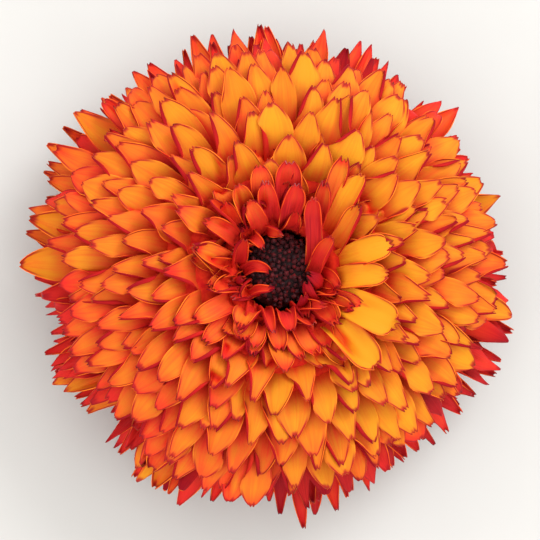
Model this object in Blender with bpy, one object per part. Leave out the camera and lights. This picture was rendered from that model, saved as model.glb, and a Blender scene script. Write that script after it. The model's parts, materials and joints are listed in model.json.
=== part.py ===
# Head of a fully double pot marigold, picked with a short stub of stalk and laid face up.
# +Z is the way the flower faces. The origin is the middle of the cut end, on the surface it rests on.
import math
import random

import bmesh
import bpy
from mathutils import Vector

MM = 0.001
SEAT_GAP = 0.3 * MM                   # between a piece and the one beside or under it
GOLDEN_TURN = math.radians(137.50776)
SIDES = 24                            # of round pieces
SHARP_ANGLE = math.radians(35)

# The tips of the florets lie on an egg-shaped crown. Its angle is 0 at the top and 90 degrees at the rim.
CROWN_RADIUS = 37.0 * MM
CROWN_RISE = 22.6 * MM
CROWN_CENTRE_Z = 9.4 * MM
INNER_ANGLES = (9.5, 19.0)
RAY_ANGLES = (22.5, 112.0)
INNER_COUNT = 30
RAY_COUNT = 290
CROWN_SAMPLES = 400
RANDOM_SEED = 7

# What changes over the crown, as pairs of crown angle and value
TIP_SPACINGS = ((9.5, 0.56), (30, 0.92), (60, 0.95), (80, 1.06))           # relative
START_SLOPES = ((19, 86), (114, -4))                                       # degrees above level
TIP_SLOPES = ((10, 72), (26, 22), (50, -6), (62, -6), (112, -28))          # degrees above level
HALF_WIDTHS = ((9.5, 1.9 * MM), (34, 2.6 * MM), (72, 2.8 * MM), (105, 2.3 * MM))
TIP_SCATTERS = ((10, 0.0), (35, 1.0 * MM))                                 # how far a tip may miss the crown

ANGLE_SCATTER = 1.6                   # degrees on the crown
SLOPE_SCATTER = 5.0
TURN_SCATTER = 2.5
ROLL_SCATTER = 9.0
WIDTH_SCATTER = 0.1
RESTING_RAYS = 3                      # the last three droop to the surface, a golden turn apart
LOWEST_FREE_TIP = 0.6 * MM

BLADE_THICKNESS = 0.9 * MM
BRACT_THICKNESS = 0.7 * MM
BLADE_ARM = 0.42                      # of its length, how far each end pulls on its curve
CLAW_WIDTH = 0.3                      # of its full width, at the root
WIDEST_AT = 0.64                      # of its length
ROOT_DEPTH = 1.2 * MM                 # sunk in the packed bases

STUB_RADIUS = 2.7 * MM
STUB_NECK_RADIUS = 3.3 * MM
STUB_HEIGHT = 6.2 * MM
STUB_RIBS = 9
RIB_HEIGHT = 0.16 * MM

RECEPTACLE_RADIUS = 9.8 * MM
RECEPTACLE_BOTTOM = STUB_HEIGHT + SEAT_GAP
RECEPTACLE_TOP = 11.5 * MM
BRACTS_PER_ROW = 13
OUTER_BRACT = {"root": (4.9, 8.0), "tip": (13.0, 7.3), "slopes": (3, -8), "half_width": 1.2}
INNER_BRACT = {"root": (7.6, 10.0), "tip": (14.8, 9.3), "slopes": (0, -6), "half_width": 1.3}

BASES_Z = RECEPTACLE_TOP + SEAT_GAP   # underside of the three floret pieces
DISC_RADIUS = 5.4 * MM
DISC_SHOULDER = 21.7 * MM
DISC_TOP = 23.6 * MM
DISC_BUDS = 44
BUD_RADIUS = 0.66 * MM
INNER_RING_IN = DISC_RADIUS + SEAT_GAP
INNER_RING_OUT = 8.0 * MM
INNER_RING_TOP = 23.8 * MM
INNER_ROOT = 6.75 * MM
RAY_RING_IN = INNER_RING_OUT + SEAT_GAP
RAY_ROOTS = (9.5 * MM, 10.5 * MM)     # innermost and outermost ray, from the axis
ROOT_HEIGHTS = (13.0 * MM, 12.5 * MM)


def clear_scene():
    for old in list(bpy.data.objects):
        bpy.data.objects.remove(old)


def material(name, colour, roughness):
    made = bpy.data.materials.new(name)
    made.use_nodes = True
    shader = made.node_tree.nodes["Principled BSDF"]
    shader.inputs["Base Color"].default_value = (*colour, 1.0)
    shader.inputs["Roughness"].default_value = roughness
    shader.inputs["Metallic"].default_value = 0.0
    return made


def add_object(name, shell):
    # Turns a bmesh into an object with its faces pointing out
    bmesh.ops.recalc_face_normals(shell, faces=shell.faces)
    mesh = bpy.data.meshes.new(name)
    shell.to_mesh(mesh)
    shell.free()
    made = bpy.data.objects.new(name, mesh)
    bpy.context.collection.objects.link(made)
    return made


def finished(piece, paint):
    piece.data.materials.clear()
    piece.data.materials.append(paint)
    piece.data.shade_smooth()
    piece.data.set_sharp_from_angle(angle=SHARP_ANGLE)


def between(low, high, share):
    return low + (high - low) * share


def smoothstep(x):
    x = min(1.0, max(0.0, x))
    return x * x * (3 - 2 * x)


def along_crown(pairs, angle):
    # The value at a crown angle in degrees, eased from each pair to the next
    for (angle_a, value_a), (angle_b, value_b) in zip(pairs, pairs[1:]):
        if angle < angle_b:
            return between(value_a, value_b, smoothstep((angle - angle_a) / (angle_b - angle_a)))
    return pairs[-1][1]


# Where the florets stand

def crown_angles(first, last, count):
    # Shares the crown's surface out among the tips by the square of their spacing
    step = (last - first) / CROWN_SAMPLES
    samples = [first + step * (i + 0.5) for i in range(CROWN_SAMPLES)]
    areas = []
    for angle in samples:
        turn = math.radians(angle)
        slant = math.hypot(CROWN_RADIUS * math.cos(turn), CROWN_RISE * math.sin(turn))
        areas.append(math.sin(turn) * slant / along_crown(TIP_SPACINGS, angle) ** 2)
    share = sum(areas) / count
    found = []
    passed = 0.0
    for angle, area in zip(samples, areas):
        passed += area
        while len(found) < count and passed >= share * (len(found) + 0.5):
            found.append(angle)
    return found


def place_floret(index, angle, root, draw):
    # A floret's azimuth, its root and tip as (radius, height), its slopes, half width and roll
    angle += draw.uniform(-ANGLE_SCATTER, ANGLE_SCATTER)
    turn = math.radians(angle)
    slope = math.radians(along_crown(TIP_SLOPES, angle) + draw.uniform(-SLOPE_SCATTER, SLOPE_SCATTER))
    reach = along_crown(TIP_SCATTERS, angle) * draw.uniform(-1, 1)
    tip_radius = CROWN_RADIUS * math.sin(turn) + reach * math.cos(slope)
    tip_height = CROWN_CENTRE_Z + CROWN_RISE * math.cos(turn) + reach * math.sin(slope)
    width = along_crown(HALF_WIDTHS, angle) * (1 + draw.uniform(-WIDTH_SCATTER, WIDTH_SCATTER))
    return {
        "azimuth": index * GOLDEN_TURN + math.radians(draw.uniform(-TURN_SCATTER, TURN_SCATTER)),
        "root": root,
        "tip": (tip_radius, max(tip_height, LOWEST_FREE_TIP)),
        "slopes": (math.radians(along_crown(START_SLOPES, angle)), slope),
        "half_width": width,
        "roll": math.radians(draw.uniform(-ROLL_SCATTER, ROLL_SCATTER)),
    }


def place_inner(draw):
    root = (INNER_ROOT, ROOT_HEIGHTS[0])
    angles = crown_angles(*INNER_ANGLES, INNER_COUNT)
    return [place_floret(i, angle, root, draw) for i, angle in enumerate(angles)]


def place_rays(draw):
    rays = []
    for i, angle in enumerate(crown_angles(*RAY_ANGLES, RAY_COUNT)):
        share = (angle - RAY_ANGLES[0]) / (RAY_ANGLES[1] - RAY_ANGLES[0])
        root = (between(*RAY_ROOTS, share), between(*ROOT_HEIGHTS, share))
        rays.append(place_floret(INNER_COUNT + i, angle, root, draw))
    for ray in rays[-RESTING_RAYS:]:
        ray["tip"] = (ray["tip"][0], 0.0)
    return rays


# One floret or bract: a thin blade, flat on top with a keel below, drawn to a point

def blade_path(floret, t):
    # Point and direction on its curve, as (radius, height)
    root = Vector(floret["root"])
    tip = Vector(floret["tip"])
    arm = BLADE_ARM * (tip - root).length
    start, end = (Vector((math.cos(slope), math.sin(slope))) * arm for slope in floret["slopes"])
    a, b, c, d = root, root + start, tip - end, tip
    u = 1 - t
    point = a * u ** 3 + b * 3 * u * u * t + c * 3 * u * t * t + d * t ** 3
    direction = (b - a) * u * u + (c - b) * 2 * u * t + (d - c) * t * t
    return point, direction.normalized()


def blade_width(t):
    claw = between(CLAW_WIDTH, 1.0, smoothstep(t / WIDEST_AT))
    arch = max(0.0, (t - WIDEST_AT) / (1 - WIDEST_AT))
    return claw * (1 - arch * arch)


def blade_corners(floret, t, thickness):
    # Left edge, right edge and keel
    point, direction = blade_path(floret, t)
    azimuth = floret["azimuth"]
    outward = Vector((math.cos(azimuth), math.sin(azimuth), 0))
    across = Vector((-math.sin(azimuth), math.cos(azimuth), 0))
    up = Vector((0, 0, 1))
    centre = outward * point.x + up * point.y
    normal = up * direction.x - outward * direction.y
    turn = floret["roll"] * t
    side = across * math.cos(turn) + normal * math.sin(turn)
    face = normal * math.cos(turn) - across * math.sin(turn)
    reach = side * floret["half_width"] * blade_width(t)
    return [centre + reach, centre - reach, centre - face * thickness]


def add_blade(floret, stations, thickness):
    shell = bmesh.new()
    rings = [[shell.verts.new(corner) for corner in blade_corners(floret, t, thickness)] for t in stations]
    azimuth = floret["azimuth"]
    radius, height = floret["tip"]
    tip = shell.verts.new((radius * math.cos(azimuth), radius * math.sin(azimuth), height))
    shell.faces.new(rings[0])
    for k in range(3):
        n = (k + 1) % 3
        for near, far in zip(rings, rings[1:]):
            shell.faces.new((near[k], near[n], far[n]))
            shell.faces.new((near[k], far[n], far[k]))
        shell.faces.new((rings[-1][k], rings[-1][n], tip))
    return add_object("blade", shell)


def inside(profile, x, y):
    # Whether a point is inside a closed outline
    found = False
    for (x1, y1), (x2, y2) in zip(profile, profile[1:] + profile[:1]):
        if (y1 > y) != (y2 > y) and x < x1 + (x2 - x1) * (y - y1) / (y2 - y1):
            found = not found
    return found


def buried_start(floret, profile):
    # The last place along a floret's curve where its root is still sunk deep enough in the turned bases
    sunk = ((ROOT_DEPTH, 0), (-ROOT_DEPTH, 0), (0, ROOT_DEPTH), (0, -ROOT_DEPTH))
    samples = 64
    for step in range(samples, 0, -1):
        point, _ = blade_path(floret, step / samples)
        if all(inside(profile, point.x + dx, point.y + dy) for dx, dy in sunk):
            return step / samples
    return 0.0


# Solids and how they are joined

def add_turned(name, profile, sides=SIDES):
    # A closed turned solid from (radius, height) points; an outline that leaves the axis out makes a ring
    shell = bmesh.new()
    circle = [(math.cos(2 * math.pi * k / sides), math.sin(2 * math.pi * k / sides)) for k in range(sides)]
    loops = []
    for radius, height in profile:
        if radius == 0:
            loops.append([shell.verts.new((0, 0, height))] * sides)
        else:
            loops.append([shell.verts.new((radius * x, radius * y, height)) for x, y in circle])
    ring = all(radius > 0 for radius, _ in profile)
    pairs = list(zip(loops, loops[1:])) + ([(loops[-1], loops[0])] if ring else [])
    for low, high in pairs:
        for k in range(sides):
            corners = (low[k], low[k - 1], high[k - 1], high[k])
            shell.faces.new(dict.fromkeys(corners))
    return add_object(name, shell)


def keep_largest_body(mesh):
    # Drops loose scraps, and fills the hollows that joining has sealed
    shell = bmesh.new()
    shell.from_mesh(mesh)
    left = set(shell.faces)
    bodies = []
    while left:
        body = [left.pop()]
        for face in body:
            fresh = {other for edge in face.edges for other in edge.link_faces} & left
            left -= fresh
            body.extend(fresh)
        bodies.append(body)
    bodies.sort(key=len)
    extra = [face for body in bodies[:-1] for face in body]
    bmesh.ops.delete(shell, geom=extra, context="FACES")
    shell.to_mesh(mesh)
    shell.free()


def join_all(core, pieces):
    # One Boolean union on a collection of all the pieces, applied, with the pieces then removed
    bag = bpy.data.collections.new("pieces")
    bpy.context.scene.collection.children.link(bag)
    for piece in pieces:
        bag.objects.link(piece)
        bpy.context.collection.objects.unlink(piece)
    join = core.modifiers.new("join", "BOOLEAN")
    join.operation = "UNION"
    join.operand_type = "COLLECTION"
    join.collection = bag
    graph = bpy.context.evaluated_depsgraph_get()
    joined = bpy.data.meshes.new_from_object(core.evaluated_get(graph))
    core.modifiers.clear()
    core.data = joined
    keep_largest_body(joined)
    for piece in pieces:
        bpy.data.objects.remove(piece)
    bpy.data.collections.remove(bag)


# The five pieces

def make_stub():
    # The short end of ribbed stalk that was picked with the head, cut flat
    shell = bmesh.new()
    around = STUB_RIBS * 4
    loops = []
    for share in (0.0, 0.3, 0.65, 1.0):
        height = share * STUB_HEIGHT
        loop = []
        for k in range(around):
            turn = 2 * math.pi * k / around
            radius = between(STUB_RADIUS, STUB_NECK_RADIUS, share ** 2)
            radius += RIB_HEIGHT * math.cos(STUB_RIBS * turn)
            loop.append(shell.verts.new((radius * math.cos(turn), radius * math.sin(turn), height)))
        loops.append(loop)
    for low, high in zip(loops, loops[1:]):
        for k in range(around):
            shell.faces.new((low[k - 1], low[k], high[k], high[k - 1]))
    shell.faces.new(loops[0])
    shell.faces.new(loops[-1])
    finished(add_object("stalk_stub", shell), material("stalk_green", (0.20, 0.32, 0.07), 0.6))


def place_bracts(row, first_turn):
    places = []
    for k in range(BRACTS_PER_ROW):
        places.append({
            "azimuth": 2 * math.pi * (k + first_turn) / BRACTS_PER_ROW,
            "root": tuple(size * MM for size in row["root"]),
            "tip": tuple(size * MM for size in row["tip"]),
            "slopes": tuple(math.radians(slope) for slope in row["slopes"]),
            "half_width": row["half_width"] * MM,
            "roll": 0.0,
        })
    return places


def make_involucre():
    # The solid green receptacle on the stalk, with two rows of narrow bracts under the rays
    pad = add_turned("involucre", [
        (0.0, RECEPTACLE_BOTTOM),
        (3.5 * MM, RECEPTACLE_BOTTOM),
        (5.6 * MM, 7.3 * MM),
        (8.2 * MM, 8.8 * MM),
        (RECEPTACLE_RADIUS, 10.4 * MM),
        (RECEPTACLE_RADIUS, RECEPTACLE_TOP),
        (0.0, RECEPTACLE_TOP),
    ])
    places = place_bracts(OUTER_BRACT, 0.0) + place_bracts(INNER_BRACT, 0.5)
    join_all(pad, [add_blade(place, (0.0, WIDEST_AT), BRACT_THICKNESS) for place in places])
    finished(pad, material("bract_green", (0.22, 0.36, 0.08), 0.6))


def make_ray_florets(florets):
    # The orange straps, from the rim to near the middle, standing out of the ring of their packed bases
    profile = [
        (RAY_RING_IN, BASES_Z),
        (14.0 * MM, BASES_Z),
        (21.0 * MM, 12.6 * MM),
        (26.0 * MM, 14.6 * MM),
        (26.4 * MM, 17.2 * MM),
        (23.5 * MM, 20.6 * MM),
        (18.0 * MM, 23.8 * MM),
        (12.8 * MM, 24.8 * MM),
        (RAY_RING_IN, 19.6 * MM),
    ]
    bases = add_turned("ray_florets", profile)
    blades = []
    for floret in florets:
        start = buried_start(floret, profile)
        stations = (start, between(start, 1.0, 0.52), 0.9)
        blades.append(add_blade(floret, stations, BLADE_THICKNESS))
    join_all(bases, blades)
    finished(bases, material("ray_orange", (0.95, 0.32, 0.02), 0.5))


def make_inner_florets(florets):
    # The short red florets round the dark middle, on a ring of their packed bases
    bases = add_turned("inner_florets", [
        (INNER_RING_IN, BASES_Z),
        (INNER_RING_OUT, BASES_Z),
        (INNER_RING_OUT, INNER_RING_TOP - 1.0 * MM),
        (7.4 * MM, INNER_RING_TOP),
        (6.3 * MM, INNER_RING_TOP),
        (INNER_RING_IN, INNER_RING_TOP - 1.0 * MM),
    ])
    join_all(bases, [add_blade(floret, (0.42, 0.66, 0.87), BLADE_THICKNESS) for floret in florets])
    finished(bases, material("inner_red", (0.72, 0.05, 0.02), 0.5))


def make_disc_florets():
    # The dark buds, in a spiral over a plug of their packed bases
    plug = add_turned("disc_florets", [
        (0.0, BASES_Z),
        (DISC_RADIUS, BASES_Z),
        (DISC_RADIUS, DISC_SHOULDER),
        (4.2 * MM, DISC_TOP - 0.8 * MM),
        (2.4 * MM, DISC_TOP - 0.15 * MM),
        (0.0, DISC_TOP),
    ])
    buds = []
    for i in range(DISC_BUDS):
        radius = (DISC_RADIUS - BUD_RADIUS) * math.sqrt((i + 0.5) / DISC_BUDS)
        drop = 1.5 * MM * (radius / DISC_RADIUS) ** 2
        turn = i * GOLDEN_TURN
        bud = add_turned("bud", [(0.0, -1.3 * MM), (BUD_RADIUS, 0.2 * MM), (0.0, 1.1 * MM)], sides=5)
        bud.rotation_euler.z = turn
        bud.location = (radius * math.cos(turn), radius * math.sin(turn), DISC_TOP - drop)
        buds.append(bud)
    join_all(plug, buds)
    finished(plug, material("disc_maroon", (0.035, 0.006, 0.008), 0.45))


def main():
    clear_scene()
    draw = random.Random(RANDOM_SEED)
    inner = place_inner(draw)
    rays = place_rays(draw)
    make_stub()
    make_involucre()
    make_ray_florets(rays)
    make_inner_florets(inner)
    make_disc_florets()


main()
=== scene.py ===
import json
import math
import random

import bmesh
import bpy
from mathutils import Matrix, Vector
from mathutils.bvhtree import BVHTree

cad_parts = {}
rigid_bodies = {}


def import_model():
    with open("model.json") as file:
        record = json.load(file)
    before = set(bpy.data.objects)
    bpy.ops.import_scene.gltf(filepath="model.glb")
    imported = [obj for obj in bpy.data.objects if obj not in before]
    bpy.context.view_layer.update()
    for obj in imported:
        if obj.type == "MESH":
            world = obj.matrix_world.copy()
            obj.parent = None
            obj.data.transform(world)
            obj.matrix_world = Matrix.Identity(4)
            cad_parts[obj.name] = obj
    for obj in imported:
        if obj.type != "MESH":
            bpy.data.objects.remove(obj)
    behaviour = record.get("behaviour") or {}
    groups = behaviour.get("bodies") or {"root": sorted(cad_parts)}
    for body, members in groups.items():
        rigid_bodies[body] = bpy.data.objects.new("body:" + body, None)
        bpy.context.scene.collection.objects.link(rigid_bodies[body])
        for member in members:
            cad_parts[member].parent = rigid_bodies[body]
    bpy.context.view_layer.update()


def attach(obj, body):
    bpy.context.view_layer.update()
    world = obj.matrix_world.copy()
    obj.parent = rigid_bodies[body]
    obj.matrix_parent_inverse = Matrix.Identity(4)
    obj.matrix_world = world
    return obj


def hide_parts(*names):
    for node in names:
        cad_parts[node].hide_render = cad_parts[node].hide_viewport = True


# Marigold head lying face up: florets bent by Geometry Nodes, placed by the same rule as the solids.

for leftover in list(bpy.data.objects):
    bpy.data.objects.remove(leftover)
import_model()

mm = 0.001
goldenTurn = math.radians(137.50776)
armShare = 0.42                 # length of a bend's handles, by the distance from root to tip


# small helpers

def between(low, high, share):
    return low + (high - low) * share


def jitter(draw, most):
    return draw.uniform(-most, most)


def eased(pairs, x):
    # value at x, eased from each (x, value) pair to the next
    if x <= pairs[0][0]:
        return pairs[0][1]
    for (xA, a), (xB, b) in zip(pairs, pairs[1:]):
        if x < xB:
            share = (x - xA) / (xB - xA)
            return between(a, b, share * share * (3 - 2 * share))
    return pairs[-1][1]


def polar(radius, azimuth, z):
    return Vector((radius * math.cos(azimuth), radius * math.sin(azimuth), z))


def feed(tree, value, socket):
    if isinstance(value, Wire):
        value = value.socket
    if isinstance(value, bpy.types.NodeSocket):
        tree.links.new(value, socket)
    elif isinstance(value, tuple) and len(value) == 3 and socket.type == "RGBA":
        socket.default_value = (*value, 1.0)
    else:
        socket.default_value = value


class Wire:
    # a value running through a node tree, so that formulas read as sums
    def __init__(self, tree, socket):
        self.tree, self.socket = tree, socket

    def node(self, kind, operation, *values):
        made = addNode(self.tree, kind, dict(enumerate(values)), operation=operation)
        return Wire(self.tree, made.outputs[0])

    def times(self, factor):
        made = addNode(self.tree, "ShaderNodeVectorMath", {0: self, "Scale": factor}, operation="SCALE")
        return Wire(self.tree, made.outputs[0])

    def smooth(self, low, high, fromValue=0.0, toValue=1.0):
        made = addNode(self.tree, "ShaderNodeMapRange", {
            "Value": self, "From Min": low, "From Max": high, "To Min": fromValue, "To Max": toValue},
            interpolation_type="SMOOTHSTEP")
        return Wire(self.tree, made.outputs["Result"])

    def noise(self, scale, detail=2.0):
        made = addNode(self.tree, "ShaderNodeTexNoise", {"Vector": self, "Scale": scale, "Detail": detail})
        return Wire(self.tree, made.outputs["Fac"])

    def mix(self, first, second):
        made = addNode(self.tree, "ShaderNodeMix", data_type="RGBA")
        for place, value in ((0, self), (6, first), (7, second)):
            feed(self.tree, value, made.inputs[place])
        return made.outputs[2]

    def ramp(self, stops):
        # each stop is made where it belongs, because a ramp sorts its stops whenever one moves
        made = addNode(self.tree, "ShaderNodeValToRGB", {"Fac": self})
        first, last = made.color_ramp.elements
        first.position, first.color = stops[0][0], (*stops[0][1], 1.0)
        last.position, last.color = stops[-1][0], (*stops[-1][1], 1.0)
        for place, colour in stops[1:-1]:
            made.color_ramp.elements.new(place).color = (*colour, 1.0)
        return made.outputs["Color"]


def wireMethod(kind, operation, order=1):
    def run(self, *others):
        return self.node(kind, operation, *(self, *others)[::order])
    return run


for name, operation in (("add", "ADD"), ("sub", "SUBTRACT"), ("mul", "MULTIPLY"), ("truediv", "DIVIDE"),
                        ("pow", "POWER")):
    setattr(Wire, f"__{name}__", wireMethod("ShaderNodeMath", operation))
    setattr(Wire, f"__r{name}__", wireMethod("ShaderNodeMath", operation, -1))
for name, operation in (("sin", "SINE"), ("cos", "COSINE"), ("abs", "ABSOLUTE"), ("sign", "SIGN"),
                        ("atLeast", "MAXIMUM"), ("atMost", "MINIMUM"), ("above", "GREATER_THAN")):
    setattr(Wire, name, wireMethod("ShaderNodeMath", operation))
for name, operation in (("plus", "ADD"), ("minus", "SUBTRACT"), ("stretched", "MULTIPLY"),
                        ("cross", "CROSS_PRODUCT"), ("unit", "NORMALIZE")):     # these are for vectors
    setattr(Wire, name, wireMethod("ShaderNodeVectorMath", operation))


def newGeometryTree(name, sizes):
    # tree with a geometry in and out, and one named input for each size
    tree = bpy.data.node_groups.new(name, "GeometryNodeTree")
    tree.interface.new_socket("Geometry", in_out="INPUT", socket_type="NodeSocketGeometry")
    for label, value in sizes.items():
        kind = "NodeSocketInt" if isinstance(value, int) else "NodeSocketFloat"
        tree.interface.new_socket(label, in_out="INPUT", socket_type=kind).default_value = value
    tree.interface.new_socket("Geometry", in_out="OUTPUT", socket_type="NodeSocketGeometry")
    given = tree.nodes.new("NodeGroupInput")
    return tree, given.outputs["Geometry"], {label: Wire(tree, given.outputs[label]) for label in sizes}


def addNode(tree, kind, links=None, **settings):
    made = tree.nodes.new(kind)
    for name, value in settings.items():
        setattr(made, name, value)
    for name, value in (links or {}).items():
        feed(tree, value, made.inputs[name])
    return made


def readAttribute(tree, name, kind="FLOAT"):
    made = addNode(tree, "GeometryNodeInputNamedAttribute", {"Name": name}, data_type=kind)
    return Wire(tree, made.outputs[0])


def storeAttribute(tree, geometry, name, value, domain="POINT"):
    links = {"Geometry": geometry, "Name": name, "Value": value}
    made = addNode(tree, "GeometryNodeStoreNamedAttribute", links, data_type="FLOAT", domain=domain)
    return made.outputs[0]


def splitXYZ(tree, vector):
    parts = addNode(tree, "ShaderNodeSeparateXYZ", {"Vector": vector})
    return [Wire(tree, socket) for socket in parts.outputs]


def joinXYZ(tree, x, y, z):
    return Wire(tree, addNode(tree, "ShaderNodeCombineXYZ", {"X": x, "Y": y, "Z": z}).outputs[0])


def flatGrid(tree, columns, rows):
    # a grid from -1 to 1 both ways, and the x and y of its points
    grid = addNode(tree, "GeometryNodeMeshGrid", {"Size X": 2.0, "Size Y": 2.0, "Vertices X": columns,
                                                  "Vertices Y": rows})
    x, y, _ = splitXYZ(tree, addNode(tree, "GeometryNodeInputPosition").outputs[0])
    return grid.outputs["Mesh"], x, y


def randomValue(tree, seed):
    made = addNode(tree, "FunctionNodeRandomValue", {"Seed": seed}, data_type="FLOAT")
    return Wire(tree, made.outputs[1])


def moveTo(tree, geometry, position):
    return addNode(tree, "GeometryNodeSetPosition", {"Geometry": geometry, "Position": position}).outputs[0]


def scatter(tree, points, shape, grain=None, **links):
    # a real copy of the shape on each point, with its own random number as "grain" if one comes in
    spread = addNode(tree, "GeometryNodeInstanceOnPoints", {"Points": points, "Instance": shape, **links})
    many = spread.outputs[0]
    if grain:
        many = storeAttribute(tree, many, "grain", grain, "INSTANCE")
    return addNode(tree, "GeometryNodeRealizeInstances", {"Geometry": many}).outputs[0]


def finishTree(tree, geometry, material):
    painted = addNode(tree, "GeometryNodeSetMaterial", {"Geometry": geometry, "Material": material})
    addNode(tree, "NodeGroupOutput", {"Geometry": painted.outputs[0]})
    return tree


def linkObject(name, mesh):
    made = bpy.data.objects.new(name, mesh)
    bpy.context.collection.objects.link(made)
    return made


def plainMesh(holder, name):
    # what an object's modifiers make of it, as a plain mesh object that takes its place
    graph = bpy.context.evaluated_depsgraph_get()
    mesh = bpy.data.meshes.new_from_object(holder.evaluated_get(graph))
    bpy.data.objects.remove(holder)
    mesh.name = name
    if mesh.materials and mesh.materials[0] is None:
        mesh.materials.pop(index=0)
    mesh.shade_smooth()
    return linkObject(name, mesh)


def growOn(points, tree, values, name):
    # runs a tree on a mesh of points, with its inputs set by identifier
    grow = points.modifiers.new("grow", "NODES")
    grow.node_group = tree
    for item in tree.interface.items_tree:
        if item.in_out == "INPUT" and item.name in values:
            grow[item.identifier] = values[item.name]
    return plainMesh(points, name)


def hangOn(piece, slot, *nodes):
    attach(piece, "root")
    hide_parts(*nodes)


# shader helpers

def newMaterial(name, roughness, shine=0.5):
    material = bpy.data.materials.new(name)
    material.use_nodes = True
    shader = material.node_tree.nodes["Principled BSDF"]
    shader.inputs["Roughness"].default_value = roughness
    shader.inputs["Specular IOR Level"].default_value = shine
    return material, material.node_tree


def finishMaterial(material, colour, height=None, strength=0.4, distance=0.12 * mm):
    # its colour, and bumps where a height comes in
    tree = material.node_tree
    shader = tree.nodes["Principled BSDF"]
    feed(tree, colour, shader.inputs["Base Color"])
    if height:
        bump = addNode(tree, "ShaderNodeBump", {"Height": height, "Strength": strength, "Distance": distance})
        feed(tree, bump.outputs["Normal"], shader.inputs["Normal"])
    return material


def shaderValues(tree, *names):
    nodes = [addNode(tree, "ShaderNodeAttribute", attribute_name=name) for name in names]
    return [Wire(tree, node.outputs["Fac"]) for node in nodes]


def objectPlace(tree, stretch=(1, 1, 1)):
    return Wire(tree, addNode(tree, "ShaderNodeTexCoord").outputs["Object"]).stretched(stretch)


def plainPaint(name, roughness, stops, scale, bumpHeight, shine=0.5):
    # colour and bump from one noise
    material, tree = newMaterial(name, roughness, shine)
    grain = objectPlace(tree).noise(scale, 4.0)
    return finishMaterial(material, grain.ramp(stops), grain, 0.6, bumpHeight)


# where the florets stand

crown = {
    "radius": 37.0 * mm,
    "rise": 22.6 * mm,
    "centreZ": 9.4 * mm,
    "innerAngles": (9.5, 19.0),
    "rayAngles": (22.5, 112.0),
    "innerCount": 30,
    "rayCount": 290,
    "seed": 7,
    "spacing": ((9.5, 0.56), (30, 0.92), (60, 0.95), (80, 1.06)),
    "slopes": ((10, 72), (26, 22), (50, -6), (62, -6), (112, -28)),     # of the tips, in degrees
    "reach": ((10, 0.0), (35, 1.0 * mm)),
    "lowestTip": 0.6 * mm,
    "vary": {"angle": 1.6, "slope": 5.0, "reach": 1, "width": 0.1, "heading": 2.5, "roll": 9.0},
}


def crownAngles(first, last, count, samples=400):
    step = (last - first) / samples
    found, passed, areas = [], 0.0, []
    for i in range(samples):
        angle = first + step * (i + 0.5)
        turn = math.radians(angle)
        slant = math.hypot(crown["radius"] * math.cos(turn), crown["rise"] * math.sin(turn))
        areas.append((angle, math.sin(turn) * slant / eased(crown["spacing"], angle) ** 2))
    share = sum(area for _, area in areas) / count
    for angle, area in areas:
        passed += area
        while len(found) < count and passed >= share * (len(found) + 0.5):
            found.append(angle)
    return found


def placeFloret(index, angle, draw):
    # the same draws in the same order as the solids', so that each floret lies on its solid
    vary = crown["vary"]
    angle += jitter(draw, vary["angle"])
    turn = math.radians(angle)
    slopeShift = jitter(draw, vary["slope"])
    slope = math.radians(eased(crown["slopes"], angle) + slopeShift)
    reach = eased(crown["reach"], angle) * jitter(draw, vary["reach"])
    tipR = crown["radius"] * math.sin(turn) + reach * math.cos(slope)
    tipZ = crown["centreZ"] + crown["rise"] * math.cos(turn) + reach * math.sin(slope)
    widthShare = 1 + jitter(draw, vary["width"])
    azimuth = index * goldenTurn + math.radians(jitter(draw, vary["heading"]))
    roll = math.radians(jitter(draw, vary["roll"]))
    return {"angle": angle, "azimuth": azimuth, "tipR": tipR, "tipZ": max(tipZ, crown["lowestTip"]),
            "slopeShift": slopeShift, "widthShare": widthShare, "roll": roll}


# one floret: a flat grid bent along four handles, with its edges folded over near the tip

floretShape = {
    "Claw Width": 0.50,         # of its full width, at the root
    "Tip Width": 0.16,
    "Arch Power": 2.3,
    "Edge Crowding": 1.6,       # columns close up towards the edges, and rows towards the tip
    "Tip Crowding": 1.5,
    "Pleat Turn": 9.4,          # radians of each wave, across the half width or along the length
    "Ripple Turn": 13.0,
    "Tooth Turn": 7.0,
    "Shown Length": 9.0 * mm,   # of the part that neighbours leave in view
    "Seed": 3,
}
vectorValues = ("p0", "p1", "p2", "p3", "side")
floretValues = {                # what each floret needs, with the usual value
    "start": 0.4, "bladeLength": 25 * mm, "halfWidth": 3.0 * mm, "widest": 0.75,
    "roll": 0.0, "twist": 0.0, "cup": 0.3, "blunt": 1.0,
    "foldRight": 2.0, "foldLeft": 1.5, "hemRight": 0.8, "hemLeft": 0.9, "foldFrom": 0.6,
    "ripple": 0.0, "hook": 0.0, "phase": 0.0, "pleat": 0.06 * mm, "tooth": 0.3 * mm,
    "tone": 0.0, "redness": 0.0,
}
anyPhase = (0.0, 6.28)


def seatMesh(name, florets):
    # one point for each floret, holding its values as attributes
    mesh = bpy.data.meshes.new(name)
    mesh.from_pydata([(0.0, 0.0, 0.0)] * len(florets), [], [])
    for value in vectorValues:
        flat = [number for floret in florets for number in floret[value]]
        mesh.attributes.new(value, "FLOAT_VECTOR", "POINT").data.foreach_set("vector", flat)
    for value, usual in floretValues.items():
        flat = [floret.get(value, usual) for floret in florets]
        mesh.attributes.new(value, "FLOAT", "POINT").data.foreach_set("value", flat)
    return linkObject(name, mesh)


floretGrid = {"columns": 11, "rows": 8}


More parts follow.
